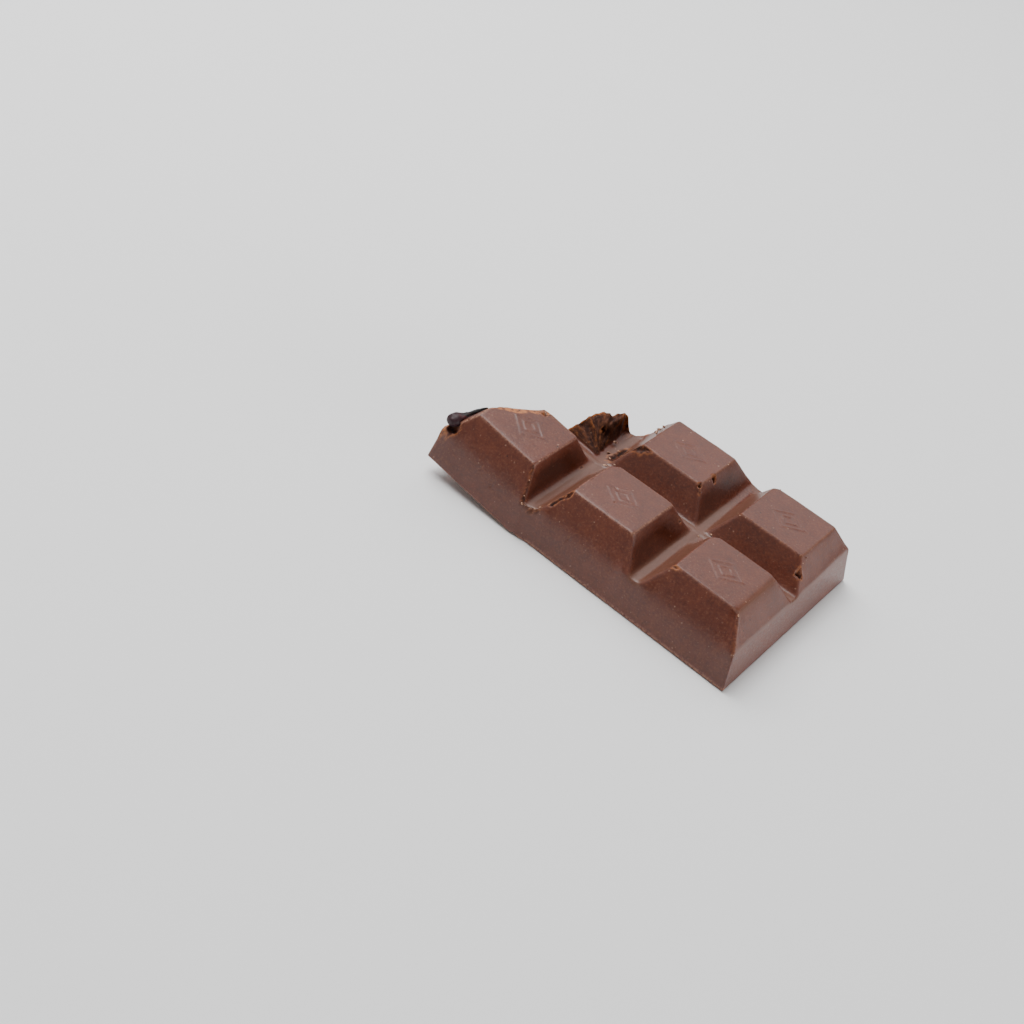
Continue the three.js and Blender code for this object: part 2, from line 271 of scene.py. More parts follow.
def top_height(x, y):
    """Height of the moulded top: the highest of groove floors, rails and squares, with lozenges
    on the squares, the torn square cut off at its stump and the plate's sides cut down."""
    rail_x = from_groove(x)
    rail_y = np.abs(y - GROOVE_Y)
    rail = 0.6 * ease(rail_x, 0.6, 0.38) * ease(y, -2.6, -0.5)
    rail = np.maximum(rail, ease(rail_y, 0.5, 0.36))
    height = PLATE + RAIL_HEIGHT * rail
    fillet = FILLET + 1.1 * ease(y, 16, 32) * ease(rail_x, 5, 3)
    for corner in SQUARES:
        square = square_height(x, y, corner)
        for scale in LOZENGE_SCALES:
            square = square + lozenge_relief(x, y, corner, scale)
        if corner in CLIPS:
            clip_x, clip_y, gone = CLIPS[corner]
            past = (y - corner[1] - clip_y - x + corner[0] + clip_x) / np.sqrt(2) + gone
            square = rounded_min(square, THICKNESS - CLIP_SLOPE * past, CLIP_ROUNDING)
        height = rounded_max(height, square, fillet)
    torn = np.minimum(square_height(x, y, TORN_SQUARE), stump_height(x, y))
    height = np.where(x < GROOVE_X - 0.6, np.maximum(height, torn), height)
    height = bitten(height, x, y)
    height = height - BEVEL_DROP * rim_bevel(x, y) * ease(y, 2, 4)
    slope = PLATE / PLATE_DRAFT
    crease = 0.8 + 2.3 * ease(rail_x, 1.3, 4.2)
    height = rounded_min(height, (y + WALL_RUN) * slope + PLATE, crease)
    height = rounded_min(height, (BACK_Y - y) * slope + PLATE, 0.5)
    return rounded_min(height, (END_X - x) * slope + PLATE, 0.25)


def crowded_lines(low, high, count, bends):
    """Positions from low to high at even steps of a summed density: 1, plus for each bend its
    strength times a bell over the distance to it."""
    x = np.linspace(low, high, 6001)
    density = 1 + sum(s * np.exp(-((x - at) / reach) ** 2) for at, reach, s in bends)
    total = np.cumsum(density)
    return np.interp(np.linspace(total[0], total[-1], count), total, x)


def bent(points):
    """The last row's turn up out of the bar: a rigid move, eased in across the groove."""
    tilt = Matrix.Rotation(BEND, 3, "Y") @ Matrix.Rotation(TWIST, 3, "X")
    moved = (points - BEND_LINE) @ np.array(tilt).T + BEND_LINE + BEND_SLIP
    share = ease(points[..., 0], BEND_FROM, BEND_TO)[..., None]
    return points + share * (moved - points)


def to_frame(points):
    """Points in the bar's millimetres as points in the frame's metres."""
    return (points - bar_origin) * MM


def mesh_piece(name, points, faces):
    """A mesh object at the origin from an array of points and a list of index arrays, each with
    one face a row."""
    mesh = bpy.data.meshes.new(name)
    mesh.from_pydata(points.reshape(-1, 3), [], [row for block in faces for row in block.tolist()])
    mesh.shade_smooth()
    mesh.update()
    piece = bpy.data.objects.new(name, mesh)
    bpy.context.scene.collection.objects.link(piece)
    return piece


def quads(index):
    """Faces of a grid of point numbers, each cell's corners in order."""
    a, b, c, d = index[:-1, :-1], index[1:, :-1], index[1:, 1:], index[:-1, 1:]
    return np.stack([a, b, c, d], axis=-1).reshape(-1, 4)


# Lines of the top's grid crowd at the squares' feet and edges and under the lozenges
LINES_X, LINES_Y = 301, 181
SKIRT_ROWS = 30
BACK_STRIPS = 9
EDGE_BEND, FOOT_BEND = (0.55, 2.6), (0.5, 1.6)
CLEAR_X, CLEAR_WIDTH = -9.5, 1.6
BACK_ROUNDING = 0.3
FACE_CRAGS, FACE_HOLLOWS = 0.42, 0.25


def square_bends(first, size, relief):
    """Bends that one square gives the grid along an axis: its two feet, its two edges and the
    lozenge between them."""
    last = first + size
    return [
        (first - WALL_RUN, *FOOT_BEND), (last + WALL_RUN, *FOOT_BEND),
        (first, *EDGE_BEND), (last, *EDGE_BEND),
        (first - WALL_RUN / 2, 1.6, 0.7), (last + WALL_RUN / 2, 1.6, 0.7),
        ((first + last) / 2, relief / 2, 1.5),
    ]


def chocolate_points():
    """Grid points of the top, in the bar's millimetres."""
    bends_x = sum([square_bends(k * PITCH_X, TOP_X, LOZENGE_X) for k in (-1, 0, 1)], [])
    bends_y = sum([square_bends(k * PITCH_Y, TOP_Y, LOZENGE_Y) for k in (0, 1)], [])
    border = 0.25
    x_lines = crowded_lines(BREAK_X[0], END_X + border, LINES_X, bends_x)
    y_lines = crowded_lines(-WALL_RUN - border, BACK_Y + border, LINES_Y, bends_y)
    x, y = np.meshgrid(x_lines, y_lines, indexing="ij")
    # Lines near the break are drawn in between it and a line that clears it
    rim = break_x(y)
    clear = np.maximum(CLEAR_X, rim + CLEAR_WIDTH)
    drawn_in = rim + (x - x_lines[0]) / (clear - x_lines[0]) * (clear - rim)
    x = np.where(x < clear, drawn_in, x)
    spot = np.stack([x, y, 0 * x], axis=-1)
    wander = 0.05 * noise(spot, 3.1, 1, 2), 0.05 * noise(spot, 2.7, 2, 2)
    z = top_height(x + wander[0], y + wander[1]) + 0.03 * noise(spot, 4.0, 3, 2)
    return np.stack([x, y, z], axis=-1)


def skirt_points(loop):
    """Rings from the loop round the top's edge down to the back: x and y spread out to the
    back's outline on the way, with crags on the break, and turn in round the back's edge at the
    end."""
    x, y, z = loop.T
    rim = break_x(y)
    broken = (x < rim + 1e-6) * 1.0
    spread_x = (END_X + PLATE_DRAFT - rim) / (loop[:, 0].max() - rim)
    spread_y = (BACK_Y + WALL_RUN + 2 * PLATE_DRAFT) / (y.max() - y.min())
    foot_x = rim + (x - rim) * spread_x
    foot_y = GROOVE_Y + (y - GROOVE_Y) * spread_y
    away = np.stack([
        (x > x.max() - 1e-6) * 1.0 - broken,
        (y > y.max() - 1e-6) * 1.0 - (y < y.min() + 1e-6) * 1.0,
    ], axis=-1)
    crack = np.exp(-((foot_x - CRACK_X) / 0.4) ** 2)
    base = BACK_HOLLOW * ease(foot_x, BEND_FROM, BEND_TO) + CRACK_DEPTH * crack
    rings = []
    for down in np.linspace(0, 1, SKIRT_ROWS - 2)[1:]:
        ring = np.stack([
            x + (foot_x - x) * down, y + (foot_y - y) * down,
            z + (base + BACK_ROUNDING - z) * down,
        ], axis=-1)
        mid_height = ease(down, 0, 0.1) * ease(down, 1, 0.93)
        inland = ease(y, y.min(), y.min() + 0.8) * ease(y, y.max(), y.max() - 0.8)
        crags = FACE_CRAGS * noise(ring, 1.7, 61, 5)
        crags = crags - FACE_HOLLOWS * np.abs(noise(ring, 3.1, 62, 2))
        ring[:, 0] += broken * mid_height * inland * crags
        ring[:, 1] += 0.03 * noise(ring, 5.0, 63, 2) * (1 - broken)
        rings.append(ring)
    for turn in np.radians([30, 60, 90]):
        inward = BACK_ROUNDING * (1 - np.cos(turn))
        rings.append(np.stack([
            foot_x - away[:, 0] * inward, foot_y - away[:, 1] * inward,
            base + BACK_ROUNDING * (1 - np.sin(turn)),
        ], axis=-1))
    return np.array(rings)


def loop_of(grid):
    """The grid's border, once round: front side, end, back side, break."""
    return np.concatenate([grid[:-1, 0], grid[-1, :-1], grid[:0:-1, -1], grid[0, :0:-1]])


top = chocolate_points()
top_index = np.arange(LINES_X * LINES_Y).reshape(LINES_X, LINES_Y)
skirt = skirt_points(loop_of(top))
loop_length = skirt.shape[1]
skirt_index = top_index.size + np.arange(skirt.shape[0] * loop_length).reshape(-1, loop_length)
rings = np.concatenate([loop_of(top_index)[None], skirt_index])
rings = np.concatenate([rings, rings[:, :1]], axis=1)

# The back: strips across it that share the skirt's last ring, closed by one long face at each end
last = np.zeros((LINES_X, LINES_Y), int)
ring = rings[-1]
last[:, 0] = ring[:LINES_X]
last[-1, :] = ring[LINES_X - 1:LINES_X + LINES_Y - 1]
last[:, -1] = ring[LINES_X + LINES_Y - 2:2 * LINES_X + LINES_Y - 2][::-1]
last[0, :] = ring[2 * LINES_X + LINES_Y - 3:][::-1]
strip = (LINES_Y - 1) // BACK_STRIPS
first_inner = top_index.size + skirt_index.size
inner_shape = LINES_X - 2, BACK_STRIPS - 1
last[1:-1, strip:-1:strip] = first_inner + np.arange(np.prod(inner_shape)).reshape(inner_shape)
front = skirt[-1][1:LINES_X - 1]
behind = skirt[-1][LINES_X + LINES_Y - 1:2 * LINES_X + LINES_Y - 3][::-1]
share = np.linspace(0, 1, BACK_STRIPS + 1)[None, 1:-1, None]
inner = front[:, None] * (1 - share) + behind[:, None] * share
inner[..., 2] += 0.05 * (1 + noise(inner, 4.0, 71, 2))
coarse = last[:, ::strip]
ends = []
for k in range(BACK_STRIPS):
    near, far = k * strip, (k + 1) * strip
    ends.append(np.concatenate([last[0, near:far + 1], last[1, [far, near]]])[None])
    ends.append(np.concatenate([last[-1, near:far + 1][::-1], last[-2, [near, far]]])[None])

unbent = np.concatenate([top.reshape(-1, 3), skirt.reshape(-1, 3), inner.reshape(-1, 3)])
faces = [quads(top_index), quads(rings), quads(coarse[1:-1])[:, ::-1], *ends]
chocolate = mesh_piece("chocolate_piece", to_frame(bent(unbent)), faces)


def square_marks(x, y, z):
    """Marks from 0 to 1 that the squares leave, each the largest over them: a painted highlight
    line along the edges, left off the worn end, the dull one of edges and upright corners, and the
    smooth skin of the walls that face the break and of the edges that turn down to the moulded end,
    which carries a painted sheen."""
    edge_highlight, dulled, smooth_and_sheen = 0 * x, 0 * x, 0 * x
    worn_from, worn_to = END_X - WALL_RUN - 0.6, END_X - WALL_RUN - 0.2
    for corner in SQUARES:
        out_x, out_y = outside(x, y, corner)
        out = np.maximum(out_x, out_y)
        worn = (corner == WORN_SQUARE) * ease(x, worn_from, worn_to)
        # Painted highlight along each top edge
        line = np.exp(-((out - 0.02) / 0.13) ** 2)
        dull = corner[0] > 0 or corner[1] > 0
        edge_highlight = np.maximum(edge_highlight, line * (1 - worn) * (0.4 if dull else 1.0))
        dulled = np.maximum(dulled, line * (1.0 if dull else 0.35))
        on_wall = (z > PLATE + 0.2) * ease(out, 0.1, 0.4) * (out < WALL_RUN)
        dulled = np.maximum(dulled, on_wall * np.exp(-((out_x - out_y) / 0.4) ** 2))
        # Painted sheen on the walls that face the break, which the key lamp lights from that side
        facing = ease(corner[0] - x - np.maximum(out_y, 0), 0.0, 0.3) * (corner[0] - x < WALL_RUN)
        smooth_and_sheen = np.maximum(smooth_and_sheen, 0.85 * facing * on_wall * (corner != BENT_SQUARE))
        reach_in, share = (0.6, 0.9) if corner == WORN_SQUARE else (0.2, 0.6)
        turned = np.exp(-((x - corner[0] - TOP_X) / reach_in) ** 2) * (out_y < 0.1) * (z > PLATE + 4)
        smooth_and_sheen = np.maximum(smooth_and_sheen, share * turned * (corner[0] >= 0))
    return edge_highlight, dulled, smooth_and_sheen


def bite_marks(x, y, z):
    """Marks from 0 to 1 that the bites leave: painted shade inside them, and a thin rim along
    their outlines with a painted glow, whose strength goes by the bite's size."""
    shaded_hole, rim = 0 * x, 0 * x
    for bite, away in zip(BITES, bite_reaches(x, y)):
        near = np.abs(z - bite[2] + bite[5] / 2) < bite[5] + 0.4
        shaded_hole = np.maximum(shaded_hole, near * ease(away, 0.95, 0.7) * min(1, bite[5] / 0.5))
        past = (away - 1) * min(bite[3], bite[4])
        strength = np.interp(bite[3], [0.18, 0.5, 0.9], [0.2, 0.8, 0.65])
        rim = np.maximum(rim, near * strength * np.exp(-(past / 0.09) ** 2))
    return shaded_hole, rim


def painted_highlight_lines(x, y, z, to_break):
    """Painted highlight lines, which may pass 1: a glint beside the cherry, along the bent
    square's far wall, and a pale line along the foot of the front side with its ragged end at the
    break."""
    far_wall = -PITCH_X - 0.5 - x
    cherry_glint = 2.2 * (x < -20) * np.exp(-((np.maximum(far_wall, 0) - np.maximum(-y, 0)) / 0.22) ** 2)
    cherry_glint = cherry_glint * ease(far_wall, -0.25, -0.1) * ease(y, -2.0, -1.2) * ease(y, 2.8, 2.5)
    foot = 1.6 * np.exp(-((z - 0.45) / 0.22) ** 2) * (y < -WALL_RUN - 0.4)
    ragged = 0.22 + 0.16 * noise(np.stack([x, y, z], axis=-1), 0.8, 81, 2)
    side_rim = np.exp(-(to_break / ragged) ** 2) * ease(y, -1.9, -2.4)
    return cherry_glint, np.maximum(foot, side_rim * (z > 0.2))


def surface_marks(points, on_break):
    """What the finish needs at each point: shares of torn chocolate, of the snapped face alone, of
    thin rims and crests, which get a painted glow of light let through, of painted highlight lines,
    dull edges, holes with painted shade, and of the smooth band along the grooves and up the walls
    that face the break, which carries a painted sheen; then the angle and the distance that the
    torn streaks follow."""
    x, y, z = points.T
    whole = 1 - on_break
    above = ease(z, PLATE + 0.1, PLATE + 0.5)
    on_stump = (x < GROOVE_X - 0.9) & (y > 15.9) & (on_break < 0.5)
    edge_highlight, dulled, smooth_and_sheen = square_marks(x, y, z)
    shaded_hole, bite_rim_glow = bite_marks(x, y, z)
    to_break = x - break_x(y)
    cherry_glint, foot = painted_highlight_lines(x, y, z, to_break)
    edge_highlight = np.maximum(np.maximum(edge_highlight, cherry_glint) * (z > PLATE + 1) * whole, foot)
    # Painted glow: thin rims at the break and on the flaked bevel are coloured as if lit through
    rim = np.maximum(np.exp(-(to_break / 0.3) ** 2), ease(rim_bevel(x, y), 0, 0.15))
    below = top_height(break_x(y) + 0.05, y) - z
    rim = rim * ease(z, PLATE - 2.6, PLATE - 0.6) * (1 - on_break * ease(below, 0.1, 0.6))
    # Painted glow on the stump's crests, and on its flank near the rim, which faces away from the lamps
    crests = ease(stump_crags(x, y), 0.12, 0.5) * 0.5
    lit_flank = ease(x, -8.3, -7.5) * ease(y, 23.8, 25.2) * 0.8
    rim = np.max([rim, bite_rim_glow * whole, on_stump * above * np.maximum(crests, lit_flank)], axis=0)
    # Groove floors: a paler painted sheen, with real smoothness in the roughness and bump
    floor = np.maximum(ease(from_groove(x), 1.5, 0.8), ease(np.abs(y - GROOVE_Y), 0.9, 0.4))
    floor = floor * ease(z, PLATE + 0.9, PLATE + 0.5) * ease(z, PLATE - 0.5, PLATE - 0.1)
    return {
        "torn": np.maximum(on_break, on_stump * above), "snapped": on_break, "rim": rim,
        "edge_highlight": edge_highlight, "dulled": dulled, "shaded_hole": shaded_hole * whole,
        "smooth_and_sheen": np.maximum(floor, smooth_and_sheen) * whole,
        "fan": np.arctan2(y - FAN_Y, FAN_X - x), "reach": np.hypot(y - FAN_Y, x - FAN_X),
    }


def set_mark(piece, name, values):
    """A number at each point of a piece, which its material reads by name."""
    mark = piece.data.attributes.new(name, "FLOAT", "POINT")
    mark.data.foreach_set("value", values.astype(np.float32))


loop_break = np.arange(loop_length) > 2 * LINES_X + LINES_Y - 3
on_break = np.zeros(len(unbent))
on_break[skirt_index] = loop_break
for mark, values in surface_marks(unbent, on_break).items():
    set_mark(chocolate, mark, values)
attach(chocolate, "root")
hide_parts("chocolate")


class Value:
    """A socket inside a material. Arithmetic on it adds Math nodes; node() adds any other node,
    its settings first and then the values or links of its sockets."""

    def __init__(self, tree, socket=None):
        self.tree, self.socket = tree, socket

    def node(self, kind, settings=None, output=0, **inputs):
        node = self.tree.nodes.new("ShaderNode" + kind)
        for name, setting in (settings or {}).items():
            setattr(node, name, setting)
        for name, value in inputs.items():
            socket = node.inputs[int(name[1:]) if name[0] == "_" else name.replace("_", " ")]
            if isinstance(value, Value):
                self.tree.links.new(value.socket, socket)
            else:
                socket.default_value = value
        return Value(self.tree, node.outputs[output])

    def feed(self, node, name, value):
        self.tree.links.new(value.socket, node.inputs[name])

    def math(self, operation, *others):
        inputs = {f"_{k}": value for k, value in enumerate((self, *others))}
        return self.node("Math", {"operation": operation}, **inputs)

    def __add__(self, other):
        return self.math("ADD", other)

    def __mul__(self, other):
        return self.math("MULTIPLY", other)

    def __sub__(self, other):
        return self.math("SUBTRACT", other)

    def __rsub__(self, other):
        return self * -1 + other

    __radd__, __rmul__ = __add__, __mul__

    def ease(self, start, end, low=0.0, high=1.0):
        """low at start and high at end, eased between them."""
        return self.node(
            "MapRange", {"interpolation_type": "SMOOTHSTEP"}, Value=self,
            From_Min=start, From_Max=end, To_Min=low, To_Max=high,
        )

    def between(self, low, high):
        """The colour low where this is 0 and the colour high where it is 1, mixed between."""
        return self.node("Mix", {"data_type": "RGBA"}, output=2, Factor=self, _6=low, _7=high)

    def toward(self, colour, share):
        """This colour mixed with another by a share."""
        return share.between(self, colour)


def linear(red, green, blue):
    """A colour given in display values from 0 to 255, as linear light."""
    shown = np.array([red, green, blue]) / 255
    light = np.where(shown > 0.04045, ((shown + 0.055) / 1.055) ** 2.4, shown / 12.92)
    return tuple(float(v) for v in light) + (1.0,)


def new_finish(name):
    """A new material, with its node tree as an empty Value, and its surface node."""
    material = bpy.data.materials.new(name)
    material.use_nodes = True
    return material, Value(material.node_tree), material.node_tree.nodes["Principled BSDF"]


# Shades of milk chocolate, in linear light
BODY_DEEP, BODY_WARM = (0.092, 0.0165, 0.005, 1), (0.112, 0.021, 0.0065, 1)
MOTTLE_DARK, MOTTLE_LIGHT = (0.055, 0.01, 0.003, 1), (0.145, 0.036, 0.012, 1)
GRAIN_DARK, GRAIN_LIGHT = (0.035, 0.006, 0.002, 1), (0.19, 0.068, 0.034, 1)
TORN_DARK, TORN_LIGHT = (0.032, 0.0075, 0.0035, 1), (0.1, 0.032, 0.014, 1)
# Painted shade inside bites and holes
HOLE_SHADE_DARK, HOLE_SHADE_LIGHT = (0.01, 0.0015, 0.0007, 1), (0.09, 0.018, 0.005, 1)
# Painted sheen: a paler, less red brown where lamps light the smooth band
SMOOTH_SHEEN = (0.125, 0.05, 0.029, 1)
# Painted glow of light let through thin rims and crests
RIM_GLOW = (0.42, 0.14, 0.04, 1)
# Painted highlight on edges and along the front side's foot
EDGE_HIGHLIGHT = (0.34, 0.17, 0.11, 1)
MILK_SPECK = (0.42, 0.25, 0.17, 1)
PIT_SHADE = (0.02, 0.006, 0.003, 1)


def milk_chocolate():
    """Moulded milk chocolate: a saturated brown under a satin skin. Cloudy shades, a fine grain
    and pale specks of milk solids vary it; torn parts are darker and rough. Painted light lies on
    top: a glow on thin rims, highlight lines on edges, shade in holes and a sheen on the band."""
    material, tree, surface = new_finish("milk_chocolate")
    place = tree.node("TexCoord", output="Object")
    torn, snapped, rim, edge_highlight, dulled, shaded_hole, smooth_and_sheen, fan, reach = (
        tree.node("Attribute", {"attribute_name": mark}, output="Fac") for mark in
        ("torn", "snapped", "rim", "edge_highlight", "dulled", "shaded_hole", "smooth_and_sheen", "fan", "reach")
    )
    cloud = tree.node("TexNoise", Vector=place, Scale=140.0, Detail=3.0)
    grain = tree.node("TexNoise", Vector=place, Scale=2800.0, Detail=3.0, Roughness=0.65)
    mottle = tree.node("TexNoise", Vector=place, Scale=850.0, Detail=5.0, Roughness=0.7)
    crag = tree.node("TexNoise", Vector=place, Scale=1300.0, Detail=5.0, Roughness=0.7)
    height = tree.node("SeparateXYZ", output="Z", Vector=place)
    spokes = tree.node("CombineXYZ", X=fan * 9.0, Y=reach * 0.5, Z=height * 600.0)
    streak = tree.node("TexNoise", Vector=spokes, Scale=1.0, Detail=5.0, Roughness=0.65)
    shade = cloud.ease(0.3, 0.7).between(BODY_DEEP, BODY_WARM)
    shade = shade.toward(MOTTLE_DARK, mottle.ease(0.5, 0.3, 0, 0.5))
    shade = shade.toward(MOTTLE_LIGHT, mottle.ease(0.5, 0.7, 0, 0.45))
    shade = shade.toward(GRAIN_DARK, grain.ease(0.5, 0.3, 0, 0.45))
    shade = shade.toward(GRAIN_LIGHT, grain.ease(0.52, 0.72, 0, 0.5))
    rugged = streak.ease(0.4, 0.62) * (1 - snapped) + crag.ease(0.25, 0.75, 0.2, 0.9) * snapped
    shade = shade.toward(rugged.between(TORN_DARK, TORN_LIGHT), torn)
    # Painted sheen on the smooth band
    shade = shade.toward(SMOOTH_SHEEN, smooth_and_sheen * 0.75)
    # Painted glow on thin rims
    shade = shade.toward(RIM_GLOW, rim * crag.ease(0.36, 0.56))
    # Painted highlight lines on the edges
    shade = shade.toward(EDGE_HIGHLIGHT, edge_highlight * grain.ease(0.35, 0.6) * 0.5)
    for size, spread_to, strength in ((1.9, 0.1, 0.6), (0.85, 0.12, 0.35)):
        speck = tree.node("TexVoronoi", Vector=place, Scale=1000 / size)
        spread = cloud.ease(0.35, 0.6, 0.35, 1) * grain.ease(0.4, 0.55, 0.3, 1)
        speck = speck.ease(spread_to, spread_to * 0.5, 0, strength)
        shade = shade.toward(MILK_SPECK, speck * spread)
    pit = tree.node("TexVoronoi", Vector=place, Scale=290.0)
    shade = shade.toward(PIT_SHADE, pit.ease(0.055, 0.035, 0, 0.9))
    # Painted shade inside the bites
    hole_shade = crag.ease(0.4, 0.65).between(HOLE_SHADE_DARK, HOLE_SHADE_LIGHT)
    shade = shade.toward(hole_shade, shaded_hole * 0.95)
    tree.feed(surface, "Base Color", shade)
    rough = 0.32 + (grain.ease(0.3, 0.7) * 0.16 - 0.04) * (1 - smooth_and_sheen) + smooth_and_sheen * 0.12 + torn * 0.35
    rough = rough + shaded_hole * 0.3 + rim * 0.25 + dulled * 0.35 + edge_highlight * 0.15
    tree.feed(surface, "Roughness", rough)
    # A metal's shine has its own colour: this keeps torn parts brown under the lamps, not grey
    tree.feed(surface, "Metallic", torn * 0.65 + shaded_hole * 0.45)
    relief = grain * 0.5 * (1 - smooth_and_sheen * 0.8) + crag * 1.2 * torn + cloud * 0.2
    relief = relief + streak * 2.4 * (torn - snapped) + crag * 1.8 * snapped
    bump = tree.node("Bump", Strength=0.5, Distance=0.00012, Height=relief)
    tree.feed(surface, "Normal", bump)
    surface.inputs["Specular IOR Level"].default_value = 0.58
    return material


chocolate.data.materials.append(milk_chocolate())

# A piece of dried cherry: nearly black, thick at one end and drawn out thin along the square's
# far wall to the other. It was moulded in, and the break has laid it half bare.
CHERRY_SPINE = np.array([
    [-24.15, -2.4, 7.6], [-23.4, -1.1, 7.95], [-22.8, 0.0, 8.2], [-22.35, 0.8, 8.7],
    [-21.7, 1.8, 9.72], [-20.8, 2.6, 11.05],
])
CHERRY_GIRTH = [0.9, 1.05, 0.98, 0.66, 0.48, 0.22]
CHERRY_DEPTH = [1.1, 1.3, 1.05, 0.7, 0.5, 0.25]


def cherry_points(rings, sides):
    """Rings of ellipses along the spine, their half widths eased between the named ones and closed
    at both ends by a circle's outline, with lengthwise wrinkles that die out at the ends."""
    t = (1 - np.cos(np.linspace(0, np.pi, rings))) / 2
    steps = np.linspace(0, 1, len(CHERRY_SPINE))
    spine = np.stack([np.interp(t, steps, axis) for axis in CHERRY_SPINE.T], axis=-1)
    along = np.gradient(spine, axis=0)
    along /= np.linalg.norm(along, axis=1, keepdims=True)
    up = np.array([-0.45, -0.2, 0.87])
    side = np.cross(up, along)
    side /= np.linalg.norm(side, axis=1, keepdims=True)
    rise = np.cross(along, side)
    closing = np.clip(np.minimum(t / 0.11, (1 - t) / 0.1), 0.004, 1)
    closing = np.sqrt(1 - (1 - closing) ** 2)
    girth = np.interp(t, steps, CHERRY_GIRTH) * closing
    depth = np.interp(t, steps, CHERRY_DEPTH) * closing
    turn = np.linspace(0, 2 * np.pi, sides, endpoint=False)
    ring = np.stack(np.broadcast_arrays(t[:, None] * 5, np.cos(turn), np.sin(turn)), axis=-1)
    wrinkle = np.sin(4 * turn + 6 * noise(ring, 1.5, 41, 2))
    swell = 1 + 0.05 * wrinkle + 0.3 * noise(ring, 1.1, 42, 4)
    out = np.cos(turn)[None, :, None] * side[:, None] * depth[:, None, None]
    out = out + np.sin(turn)[None, :, None] * rise[:, None] * girth[:, None, None]
    return spine[:, None] + out * swell[..., None]


def tube_faces(index):
    """Faces of a closed tube from its rings of point numbers, with a flat cap at both ends."""
    closed = np.concatenate([index, index[:, :1]], axis=1)
    return [quads(closed)[:, ::-1], index[:1, ::-1], index[-1:]]


cherry_rings = cherry_points(90, 72)
cherry = mesh_piece(
    "cherry_piece", to_frame(bent(cherry_rings)),
    tube_faces(np.arange(cherry_rings[..., 0].size).reshape(cherry_rings.shape[:2])),
)
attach(cherry, "root")
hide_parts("cherry")

along_cherry = np.repeat(np.linspace(0, 1, len(cherry_rings)), cherry_rings.shape[1])
set_mark(cherry, "along", along_cherry)


def dried_cherry():
    """Dried cherry: dark plum and dull at the thick end, black at the thin one, red where the
    wrinkles between them catch the light."""
    material, tree, surface = new_finish("dried_cherry")
    place = tree.node("TexCoord", output="Object")
    along = tree.node("Attribute", {"attribute_name": "along"}, output="Fac")
    blotch = tree.node("TexNoise", Vector=place, Scale=700.0, Detail=3.0)
    base = along.ease(0.35, 0.55).between(linear(52, 31, 36), linear(10, 4, 4))
    red = along.ease(0.3, 0.45) * along.ease(0.65, 0.5) * blotch.ease(0.45, 0.65)
    tree.feed(surface, "Base Color", base.toward(linear(120, 48, 44), red * 0.7))
    tree.feed(surface, "Roughness", blotch.ease(0.3, 0.7, 0.4, 0.6))
    surface.inputs["Specular IOR Level"].default_value = 0.25
    bump = tree.node("Bump", Strength=0.5, Distance=0.0002, Height=blotch)
    tree.feed(surface, "Normal", bump)
    return material


cherry.data.materials.append(dried_cherry())

# Crumbs and shavings of the chocolate itself, scraped thin or crushed where the bar was knocked
# and broken. They cling in the grooves and along the edges, each at x, y and z with a half length.
CRUMBS = [
    (-5.75, -3.15, 6.15, 0.35), (-5.3, -3.2, 6.3, 0.25), (-4.3, -3.15, 6.2, 0.2), (-3.7, -3.1, 6.3, 0.25),
    (-3.2, -2.6, 6.7, 0.22), (0.2, 10.65, 11.3, 0.25), (-0.2, 10.9, 11.0, 0.2),
    (-3.4, 15.0, 6.45, 0.35), (-3.0, 15.6, 6.4, 0.2), (-4.1, 20.2, 6.25, 0.35), (-4.0, 17.4, 6.4, 0.3),
    (-4.2, 22.6, 6.2, 0.25), (-5.6, 21.2, 6.85, 0.4), (-4.9, 18.6, 6.4, 0.25),
    (16.6, 14.2, 6.4, 0.22), (17.1, 15.1, 6.4, 0.25), (16.4, 15.8, 6.35, 0.2), (17.9, 15.9, 6.8, 0.22),
    (19.98, 18.8, 11.0, 0.2), (19.4, 19.4, 10.6, 0.15), (32.28, 19.83, 10.9, 0.22),
    (32.4, 18.9, 10.4, 0.15), (32.1, -0.33, 10.75, 0.2), (31.95, -0.1, 11.2, 0.12),
    (34.65, -3.06, 6.2, 0.2), (11.8, 27.5, 11.4, 0.2), (20.9, 29.9, 11.45, 0.15),
    (-1.2, 27.2, 10.6, 0.4), (-1.5, 26.4, 10.2, 0.45), (-1.4, 25.4, 10.2, 0.35), (-1.8, 25.9, 9.6, 0.3),
    (-0.8, 24.3, 10.9, 0.3), (-14.5, 10.0, 11.55, 0.3), (-14.1, 10.5, 11.45, 0.22),
    (-15.0, 10.4, 11.4, 0.2), (-8.1, 1.0, 11.5, 0.13), (-7.2, -1.4, 9.3, 0.16), (-6.3, -2.6, 7.2, 0.2),
]
FLAKE = [1.0, 0.62, 0.42]


